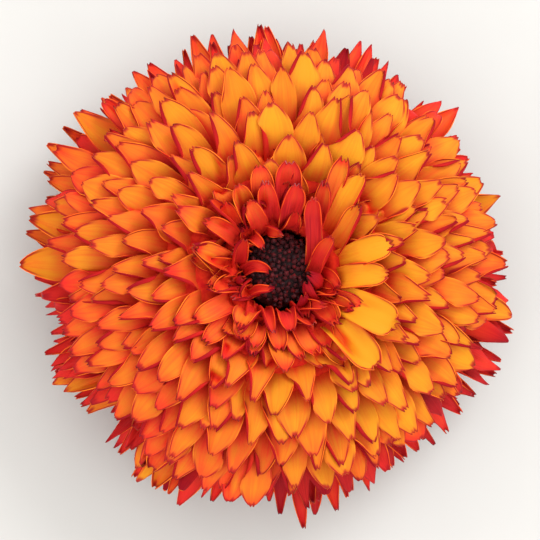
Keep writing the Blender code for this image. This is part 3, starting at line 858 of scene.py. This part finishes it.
innerFlorets = (
    (0.3, 6.5, 0.5, 15, 30.2, 0.05, 1, 0, 2.1, 0.5, 1, 0.8, 0, -0.3, 0.9),
    (-2.6, 6.2, -3.8, 14.4, 29.9, -0.15, 1, 0.05, 2, 0.7, 1.6, 0.8, 0, 0.1, 0.6),
    (-1.6, 6.3, -3, 12, 30.6, -0.2, 0.95, 0.3, 1.8, 0.9, 2.2, 1, 10, -0.2, 0.9),
    (-3.8, 5.4, -7, 11.6, 29.9, -0.5, 0.85, 0.1, 1.8, 0.7, 2.4, 0.6, 10, 0.4, 0.45),
    (0.9, 6.2, 1.4, 11.8, 30.7, 0.15, 0.95, 0.3, 1.9, 0.8, 0.8, 1.4, -10, -0.4, 1),
    (-3, 5.2, -5.5, 9.6, 30.4, -0.5, 0.8, 0.3, 1.6, 0.9, 2.2, 0.6, 15, 0.2, 0.6),
    (-4.9, 4.4, -10.9, 9.4, 29.5, -0.85, 0.5, 0.1, 1.5, 1.6, 1.2, 1.2, -20, 0.5, 0.6),
    (-5.7, 3.5, -11.6, 6.4, 29, -0.9, 0.4, 0, 1.7, 1, 1, 1.6, -10, 0.1, 0.6),
    (-4.6, 4.4, -2.9, 2.8, 26.4, 0.5, -0.7, -0.4, 1.1, 1.2, 1.4, 1, 0, -0.2, 0.95),
    (-2.3, 5.8, 0.1, 4.7, 26.8, 0.7, -0.4, 0.1, 1.1, 0.8, 0.8, 1.8, 20, 0.2, 0.85),
    (-6.9, -0.4, -6.1, 4.2, 29.4, 0.1, 0.5, 0.8, 1.7, 1.4, 0.8, 1.4, 20, -0.4, 0.9),
    (-6.2, -2, -2.1, -0.6, 26, 0.7, -0.7, -0.2, 1.1, 1.2, 1, 1, 0, -0.4, 1),
    (-5.4, -4, -1.3, -3.1, 26, 0.95, 0.1, -0.3, 0.9, 1.6, 0.8, 0.8, 0, -0.3, 0.95),
    (-6.7, -2, -6.7, -1.9, 29, 0, 0, 1, 1.3, 3, 0.4, 0.4, 0, -0.3, 0.9),
    (-7.2, 0.4, -12.8, 2.4, 28.9, -0.95, 0.3, -0.05, 1.9, 0.8, 0.8, 1.6, 0, 0.7, 0.35),
    (-7, -2.6, -11, -3, 28.7, -1, -0.1, 0, 1.6, 1, 0.8, 1.2, 0, 0.5, 0.55),
    (-5.9, -4, -12.8, -7.8, 28.5, -0.9, -0.45, -0.05, 1.9, 0.7, 0.6, 1.8, 0, 0.7, 0.45),
    (-4.9, -5, -11.4, -10.8, 28, -0.75, -0.65, -0.05, 1.8, 0.7, 0.8, 1.6, 0, 0.4, 0.5),
    (-5, -4.4, -6.8, -9.6, 28.5, -0.6, -0.8, 0, 1.2, 1.9, 1.6, 1, 0, 0.3, 0.75),
    (-3.8, -5.6, -4.7, -11.6, 28.1, -0.2, -1, -0.1, 1.8, 0.9, 1.8, 0.8, 0, 0.3, 0.6),
    (-2.7, -6, -1.8, -9.6, 28.6, 0.2, -0.9, 0.3, 1.4, 1.7, 1, 1, 0, -0.1, 0.9),
    (-1.4, -6.4, -0.8, -12, 27.9, 0.1, -1, 0, 1.8, 0.8, 1, 1, 0, 0.2, 0.65),
    (0.4, -6.6, 0.9, -9.4, 28.2, 0.1, -0.9, 0.2, 1.7, 1, 1, 1.6, 0, -0.4, 1),
    (2.2, -6.2, 4.2, -8.6, 28.2, 0.6, -0.75, 0.1, 1.6, 1.1, 0.8, 1.8, 0, -0.4, 0.95),
    (1.6, -6.4, 4.4, -12.4, 27.9, 0.4, -0.9, 0, 1.9, 0.7, 1.2, 0.6, 0, 0.5, 0.5),
    (3.4, -5.6, 6, -5.6, 28.4, 0.9, 0.1, 0.2, 1.4, 1.2, 1.2, 2, 0, -0.4, 0.95),
    (4.7, -3.6, 2.6, -2.7, 27.2, -0.5, 0.6, 0.3, 1.5, 0.9, 0.8, 0.8, 0, -0.6, 1),
    (3.6, -5, 3.4, -4.6, 27.8, 0.1, 0.3, 0.9, 1.5, 1.2, 0.8, 0.8, 0, -0.4, 1),
    (5.4, -3.6, 11.2, -5.4, 28.9, 0.95, -0.3, -0.05, 1.6, 1, 0.8, 2, 0, 0.2, 0.65),
    (6.4, -1.6, 14.8, -1, 29.3, 1, 0.05, -0.1, 2, 0.6, 0.6, 1.2, 0, 1.6, 0),
    (6.7, 0.4, 15.4, 3.4, 29.7, 0.95, 0.3, -0.1, 2.2, 0.6, 1, 0.6, 0, 1.8, -0.1),
    (6.8, 1.6, 10.9, 8.9, 30.1, 0.45, 0.85, 0.3, 1.7, 0.9, 2.6, 1, 0, 1, 0.15),
    (5, -1.2, 7, 4.3, 29.7, 0.4, 0.7, 0.5, 1.7, 1.3, 1.4, 1.4, 0, 0, 0.8),
    (5.6, -1.4, 4, -1, 27.6, -0.6, 0.4, 0.3, 1.4, 1, 1, 1, 0, -0.4, 0.95),
    (5, -0.6, 4.1, 10, 30.6, -0.05, 0.95, 0.35, 1.5, 0.6, 0.8, 0.9, 0, -0.5, 1),
    (4.4, 4.8, 6, 11.9, 30.3, 0.2, 0.95, 0.2, 1.6, 0.8, 1.4, 1.2, 20, 0.1, 0.75),
    (5.2, 3.8, 8.6, 15.4, 29.8, 0.3, 0.95, 0, 1.8, 0.6, 2.2, 0.8, 0, 0.9, 0.35),
    (5.9, 2.8, 11.2, 13.2, 29.8, 0.5, 0.85, 0, 2, 0.5, 2.4, 0.4, 10, 1.3, 0),
    (6, -3.2, 16, -8.6, 30.6, 0.9, -0.45, -0.1, 2.7, 0.5, 0.4, 0.6, 0, 2, -0.2),
    (4.9, -4.8, 13, -14.2, 29.6, 0.65, -0.75, -0.15, 2.5, 0.5, 0.6, 0.6, 0, 1.7, -0.1),
    (3.2, -5.8, 9, -13.8, 27.7, 0.5, -0.85, -0.1, 2.1, 0.6, 0.8, 1.2, 0, 1.1, 0.15),
)
innerFill = {                   # short florets in spirals between those, in mm
    "upright": {"count": 24, "root": (6.5, 7.1), "tip": (7.4, 9.4), "rise": (25.6, 27.8),
                "halfWidth": (1.5, 2.0), "redness": 0.85, "tone": (-0.6, 0.1)},
    "leaning": {"count": 26, "root": (7.2, 7.8), "tip": (10.5, 13.8), "rise": (27.6, 28.7),
                "halfWidth": (1.8, 2.3), "redness": 0.45, "tone": (0.0, 0.8)},
}
fillCup, fillFold, fillTwist = (0.5, 1.2), (0.4, 3.0), (-40, 40)
fillBeyond = 0.68               # cosine of the angle that the long golden ones take up on either side
innerLook = {
    "rootZ": 13.0,
    "archLength": 3.0 * mm,
    "start": 0.3,
    "foldFrom": 0.45,
    "pleat": 0.14 * mm,
    "hems": (0.55, 0.8),
    "ripple": (0.2, 0.6),
    "hook": (0.0, 0.8),
    "tooth": (0.3, 0.9),
}


def dressInner(row, draw):
    halfWidth, cup, foldRight, foldLeft, twist, tone, redness = row[8:]
    look = innerLook
    root = Vector((*row[:2], look["rootZ"])) * mm
    tip, tipWay = Vector(row[2:5]) * mm, Vector(row[5:8]).normalized()
    reach = (tip - root).length
    outward = Vector((root.x, root.y, 0)).normalized()
    handles = [root, root + Vector((0, 0, reach * 0.75)) - outward * 0.3 * mm,
               tip - tipWay * reach * 0.3, tip]
    facing = Vector((0, 0, 1)) - outward * 0.6
    side = (handles[3] - handles[1]).normalized().cross(facing).normalized()
    floret = dict(zip(vectorValues, (*handles, side)))
    length = bezierLength(handles)
    floret.update(start=look["start"], bladeLength=length, halfWidth=halfWidth * mm, cup=cup,
                  foldRight=foldRight, foldLeft=foldLeft, twist=math.radians(twist), tone=tone,
                  redness=redness, widest=1 - look["archLength"] / length, foldFrom=look["foldFrom"],
                  hemRight=draw.uniform(*look["hems"]), hemLeft=draw.uniform(*look["hems"]),
                  ripple=draw.uniform(*look["ripple"]) * mm, hook=draw.uniform(*look["hook"]) * mm,
                  phase=draw.uniform(*anyPhase), pleat=look["pleat"], tooth=draw.uniform(*look["tooth"]) * mm)
    return floret


def fillRow(kind, k, draw):
    # a row like those of the table, for one of the short florets
    outward = polar(1.0, (k + jitter(draw, 0.3)) * goldenTurn, 0)
    root, tip = outward * draw.uniform(*kind["root"]), outward * draw.uniform(*kind["tip"])
    tip.z = draw.uniform(*kind["rise"])
    way = outward + Vector((jitter(draw, 0.4), jitter(draw, 0.4), draw.uniform(0.0, 0.8)))
    spans = (kind["halfWidth"], fillCup, fillFold, fillFold, fillTwist, kind["tone"])
    return (*root[:2], *tip, *way, *(draw.uniform(*span) for span in spans), kind["redness"])


hearts = [dressInner(row, looks) for row in innerFlorets]
fillRows = [fillRow(kind, k, looks) for kind in innerFill.values() for k in range(kind["count"])]
for row in fillRows:
    heading = math.atan2(row[3], row[2])
    if math.cos(heading - rays["goldenSide"]) < fillBeyond:
        hearts.append(dressInner(row, looks))
values = {"Tip Width": 0.25, "Claw Width": 0.6}
blades["innerFlorets"] = growBlades("innerFlorets", hearts, floretTree, values)
ranks += [Vector(heart["p3"][:2]).length / mm - 100 for heart in hearts]     # inner ones lie on outer ones
pressUnder(blades.values(), ranks)
measureOpenForPaintedShade(blades.values())
for name, piece in blades.items():
    slot, node = ("inner", "inner_florets") if name == "innerFlorets" else ("ray", "ray_florets")
    hangOn(thicken(piece, name, extra=petalSkins), slot, node)
print("inner florets", len(hearts))


# packed bases behind the florets

def lathe(name, material, profile, steps, ribs=0, ribHeight=0.0):
    # closed profile of (r, z) pairs in mm turned round Z; a pair with r 0 is a pole
    mesh = bmesh.new()
    turns = [2 * math.pi * i / steps for i in range(steps)]
    rings = []
    for radius, z in profile:
        if radius == 0:
            rings.append([mesh.verts.new((0, 0, z * mm))])
        else:
            radii = [radius + ribHeight * math.cos(ribs * turn) for turn in turns]
            rings.append([mesh.verts.new(polar(r * mm, turn, z * mm)) for r, turn in zip(radii, turns)])
    pairs = list(zip(rings, rings[1:] + rings[:1]))
    if len(rings[0]) == 1:
        pairs = pairs[:-1]
    for low, high in pairs:
        for i in range(steps):
            j = (i + 1) % steps
            corners = [low[i % len(low)], low[j % len(low)], high[j % len(high)], high[i % len(high)]]
            mesh.faces.new(dict.fromkeys(corners))
    bmesh.ops.recalc_face_normals(mesh, faces=mesh.faces)
    made = bpy.data.meshes.new(name)
    mesh.to_mesh(made)
    mesh.free()
    made.shade_smooth()
    made.materials.append(material)
    return linkObject(name, made)


coreRed = ((0.3, (0.55, 0.011, 0.013)), (0.7, (0.85, 0.045, 0.016)))
coreMaterial = plainPaint("packedBases", 0.9, coreRed, 900, 0.2 * mm, shine=0.0)
ringProfile = ((6.0, 12.0), (8.4, 12.0), (8.9, 24.6), (8.3, 25.7), (7.1, 25.3), (6.1, 23.2))
hangOn(lathe("rayCore", coreMaterial, coreProfile, 120, 60, 0.12), "ray", "ray_florets")
hangOn(lathe("innerCore", coreMaterial, ringProfile, 96, 48, 0.1), "inner", "inner_florets")
print("packed bases")


# disc florets: dark buds in a spiral, some of them open, on a plug

disc = {
    "buds": 150,
    "radius": 5.3,
    "top": 23.7,
    "dip": 1.4,
    "sizes": (0.42 * mm, 0.66 * mm),
    "dark": ((0.35, (0.026, 0.011, 0.015)), (0.65, (0.140, 0.014, 0.018))),
    "bright": (0.48, 0.018, 0.020),
    "plug": ((0, 12.0), (5.3, 12.0), (5.3, 21.4), (4.2, 22.5), (2.4, 23.1), (0, 23.3)),
    "plugColours": ((0.3, (0.006, 0.003, 0.005)), (0.7, (0.05, 0.006, 0.008))),
    "seed": 11,
}
budShape = {
    "Lobes": 0.22,
    "Waist": 0.7,
    "Seed": 5,
    "Grain Seed": 9,
}


def buildBudTree(material):
    # a closed bud wrapped from a grid: x goes round it, y goes up
    tree, points, size = newGeometryTree("discBuds", budShape)
    grid, x, y = flatGrid(tree, 11, 6)
    turn, height = x * math.pi, y * 0.5 + 0.5
    swell = (height * math.pi * 0.94 + 0.18).sin().atLeast(0.0) ** 0.7
    lobes = 1 + size["Lobes"] * (turn * 5).cos() * height
    around = swell * lobes * size["Waist"]
    blank = moveTo(tree, grid, joinXYZ(tree, around * turn.sin(), around * turn.cos(), height * 2.2 - 0.9))
    bud = storeAttribute(tree, blank, "height", height)
    bud = addNode(tree, "GeometryNodeMergeByDistance", {"Geometry": bud, "Distance": 0.02}).outputs[0]
    tilt = addNode(tree, "FunctionNodeRandomValue", {"Seed": size["Seed"]}, data_type="FLOAT_VECTOR")
    tilt.inputs[0].default_value, tilt.inputs[1].default_value = (-0.35, -0.35, 0), (0.35, 0.35, 6.28)
    real = scatter(tree, points, bud, randomValue(tree, size["Grain Seed"]), Rotation=tilt.outputs[0],
                   Scale=readAttribute(tree, "size"))
    return finishTree(tree, real, material)


def budPaint():
    material, tree = newMaterial("discBuds", 0.6, 0.35)
    height, grain = shaderValues(tree, "height", "grain")
    patch = objectPlace(tree).noise(1400)
    share = height.smooth(0.55, 0.95) * grain.smooth(0.5, 0.95) * 0.8
    return finishMaterial(material, share.mix(patch.ramp(disc["dark"]), disc["bright"]), patch, 0.5, 0.1 * mm)


def discPoints():
    spread = random.Random(disc["seed"])
    places, sizes = [], []
    for i in range(disc["buds"]):
        radius = disc["radius"] * math.sqrt((i + 0.5) / disc["buds"])
        turn = i * goldenTurn + jitter(spread, 0.12)
        z = disc["top"] - disc["dip"] * (radius / disc["radius"]) ** 2 + jitter(spread, 0.25)
        places.append(polar(radius * mm, turn, z * mm))
        sizes.append(spread.uniform(*disc["sizes"]))
    mesh = bpy.data.meshes.new("discSeats")
    mesh.from_pydata(places, [], [])
    mesh.attributes.new("size", "FLOAT", "POINT").data.foreach_set("value", sizes)
    return linkObject("discSeats", mesh)


buds = growOn(discPoints(), buildBudTree(budPaint()), {"Lobes": 0.3}, "discBuds")
hangOn(buds, "disc", "disc_florets")
plugMaterial = plainPaint("discPlug", 0.7, disc["plugColours"], 1500, 0.2 * mm)
hangOn(lathe("discPlug", plugMaterial, disc["plug"], 72), "disc", "disc_florets")
print("disc", disc["buds"], "buds")


# stalk, receptacle and two rows of bracts, with hairs on the stalk and the bracts

under = {
    "stalk": ((0, 0.0), (2.5, 0.0), (2.68, 0.12), (2.7, 2.6), (2.82, 4.2), (3.3, 6.0), (3.2, 6.2), (0, 6.2)),
    "stalkRibs": 9,
    "stalkHairs": 0.7 * mm,
    "stalkGreen": ((0.3, (0.085, 0.150, 0.025)), (0.7, (0.235, 0.330, 0.075))),
    "cutEnd": ((0.0, (0.62, 0.66, 0.42)), (0.6, (0.50, 0.57, 0.28)), (0.78, (0.20, 0.28, 0.08)),
               (0.9, (0.30, 0.38, 0.12))),      # from the pith to the skin
    "receptacle": ((0, 6.5), (3.4, 6.5), (5.5, 7.3), (8.1, 8.8), (9.7, 10.3), (9.8, 10.7), (9.6, 11.5),
                   (0, 11.5)),
    "bracts": 13,               # in each row
    "outer": {"root": (4.9, 8.0), "tip": (13.0, 7.3), "slopes": (3, -8),
              "halfWidth": 1.25 * mm, "shift": 0.0},
    "inner": {"root": (7.6, 10.0), "tip": (14.8, 9.3), "slopes": (0, -6),
              "halfWidth": 1.35 * mm, "shift": 0.5},
    "bractGreen": ((0.25, (0.060, 0.125, 0.020)), (0.55, (0.130, 0.225, 0.040)),
                   (0.85, (0.260, 0.340, 0.085))),
    "bractTip": (0.16, 0.035, 0.030),
    "hairGreen": ((0.3, (0.30, 0.40, 0.14)), (0.7, (0.50, 0.58, 0.30))),
    "seed": 13,
}
hairShape = {
    "Hairs per m2": 1.6e6,
    "Hair Length": 0.5 * mm,
    "Hair Radius": 0.03 * mm,
    "Seed": 17,
}


def stalkPaint():
    material, tree = newMaterial("stalkGreen", 0.6, 0.3)
    streaks = objectPlace(tree, (1, 1, 0.08)).noise(1600, 3.0)
    x, y, z = splitXYZ(tree, objectPlace(tree, (1000, 1000, 1000)))         # in mm
    pith = ((x * x + y * y) ** 0.5 / 2.7 + (streaks - 0.5) * 0.2).ramp(under["cutEnd"])
    colour = z.smooth(0.02, 0.10).mix(pith, streaks.ramp(under["stalkGreen"]))
    return finishMaterial(material, colour, streaks, 0.5, 0.1 * mm)


def bractPaint():
    material, tree = newMaterial("bractGreen", 0.6, 0.3)
    across, arch, grain = shaderValues(tree, "across", "arch", "grain")
    patch = objectPlace(tree).noise(900, 3.0)
    colour = (patch + across.abs() * 0.25 - 0.1 + (grain - 0.5) * 0.2).ramp(under["bractGreen"])
    colour = (arch.smooth(0.75, 1.0) * 0.7).mix(colour, under["bractTip"])
    return finishMaterial(material, colour, patch, 0.5)


def buildHairTree(material):
    # fine cones standing on the faces of whatever mesh comes in, save those that look straight down
    tree, skin, size = newGeometryTree("growHairs", hairShape)
    facing = splitXYZ(tree, addNode(tree, "GeometryNodeInputNormal").outputs[0])[2]
    spots = addNode(tree, "GeometryNodeDistributePointsOnFaces", {
        "Mesh": skin, "Selection": facing.above(-0.3), "Density": size["Hairs per m2"], "Seed": size["Seed"]})
    hair = addNode(tree, "GeometryNodeMeshCone", {
        "Vertices": 4, "Radius Top": size["Hair Radius"] * 0.3, "Radius Bottom": size["Hair Radius"],
        "Depth": size["Hair Length"]})
    length = randomValue(tree, size["Seed"]) * 0.8 + 0.4
    real = scatter(tree, spots.outputs["Points"], hair.outputs["Mesh"], Rotation=spots.outputs["Rotation"],
                   Scale=joinXYZ(tree, 1.0, 1.0, length))
    return finishTree(tree, real, material)


def placeBract(row, k, draw):
    azimuth = 2 * math.pi * (k + row["shift"]) / under["bracts"] + jitter(draw, 0.05)
    (rootR, rootZ), (tipR, tipZ) = row["root"], row["tip"]
    tipR += draw.uniform(-0.6, 0.3)
    arm = armShare * math.hypot(tipR - rootR, tipZ - rootZ)
    slopes = [math.radians(slope + jitter(draw, 3)) for slope in row["slopes"]]
    handles, side = bentHandles(azimuth, row["root"], (tipR, tipZ), slopes, arm, mm)
    bract = dict(zip(vectorValues, (*handles, side)))
    bract.update(start=0.0, bladeLength=bezierLength(handles), widest=0.45,
                 halfWidth=row["halfWidth"] * draw.uniform(0.9, 1.1), cup=draw.uniform(0.3, 0.6),
                 foldRight=0.2, foldLeft=0.2, pleat=0.03 * mm, phase=draw.uniform(*anyPhase), tooth=0.0)
    return bract


def growHairs(piece, name, sizes):
    return growOn(linkObject(name + "Seats", piece.data.copy()), hairTree, sizes, name)


stalkMaterial, bractMaterial = stalkPaint(), bractPaint()
hairTree = buildHairTree(plainPaint("greenHairs", 0.5, under["hairGreen"], 3000, 0.02 * mm))

stalk = lathe("stalkSkin", stalkMaterial, under["stalk"], 144, under["stalkRibs"], 0.16)
stalkHairs = growHairs(stalk, "stalkHairs", {"Hair Length": under["stalkHairs"]})
for piece in (stalk, stalkHairs):
    hangOn(piece, "stalk", "stalk_stub")

pad = lathe("receptacle", bractMaterial, under["receptacle"], 120, 26, 0.06)
bractDraw = random.Random(under["seed"])
bractPlaces = [placeBract(under[row], k, bractDraw)
               for row in ("outer", "inner") for k in range(under["bracts"])]
bractTree = buildFloretTree("bendBracts", bractMaterial, columns=7, rows=10)
values = {"Arch Power": 1.5, "Tip Width": 0.06, "Claw Width": 0.8}
bracts = thicken(growBlades("bracts", bractPlaces, bractTree, values), "bracts", thickness=0.4 * mm)
bractHairs = growHairs(bracts, "bractHairs", {})
for piece in (pad, bracts, bractHairs):
    hangOn(piece, "bract", "involucre")
print("stalk,", len(bractPlaces), "bracts and", len(bractHairs.data.polygons) // 6, "hairs on them")


# floor, light and camera

studio = {
    "tilt": math.radians(7.5),
    "towards": (-0.83, -0.55),
    "target": (0.0 * mm, 0.9 * mm, 9.4 * mm),
    "distance": 0.42,
    "lens": 187.0,
    "world": 1.35,
    "worldColour": (1.0, 0.975, 0.94),
    "lights": (("key", (0.28, 0.34, 0.42), 1.6, 0.26),      # name, place, power, size
               ("fill", (-0.4, -0.3, 0.5), 0.5, 0.5)),
    "lightTarget": (0, 0, 0.015),
    "floorReach": 0.6,
    "paper": ((0.0, (0.58, 0.58, 0.57)), (1.0, (0.62, 0.62, 0.61))),
}


def makeStudio():
    reach = studio["floorReach"]
    floorMesh = bpy.data.meshes.new("floor")
    corners = [(-reach, -reach, 0), (reach, -reach, 0), (reach, reach, 0), (-reach, reach, 0)]
    floorMesh.from_pydata(corners, [], [(0, 1, 2, 3)])
    floorMesh.materials.append(plainPaint("palePaper", 0.85, studio["paper"], 60, 0.05 * mm))
    linkObject("floor", floorMesh)

    world = bpy.data.worlds.new("studio")
    world.use_nodes = True
    sky = world.node_tree.nodes["Background"]
    feed(world.node_tree, studio["worldColour"], sky.inputs["Color"])
    sky.inputs["Strength"].default_value = studio["world"]
    bpy.context.scene.world = world
    for name, place, power, size in studio["lights"]:
        light = bpy.data.lights.new(name, "AREA")
        light.energy, light.size = power, size
        lamp = linkObject(name, light)
        lamp.location = place
        shine = Vector(studio["lightTarget"]) - lamp.location
        lamp.rotation_euler = shine.to_track_quat("-Z", "Y").to_euler()

    camera = linkObject("camera", bpy.data.cameras.new("camera"))
    camera.data.lens = studio["lens"]
    camera.data.clip_start = 0.01
    x, y = studio["towards"]
    tilt = studio["tilt"]
    back = Vector((x * math.sin(tilt), y * math.sin(tilt), math.cos(tilt))).normalized()
    right = Vector((0, 1, 0)).cross(back).normalized()
    turned = Matrix((right, back.cross(right), back)).transposed()
    stand = Vector(studio["target"]) + back * studio["distance"]
    camera.matrix_world = Matrix.Translation(stand) @ turned.to_4x4()
    bpy.context.scene.camera = camera
    bpy.context.scene.view_settings.view_transform = "Standard"


makeStudio()
print("studio done")
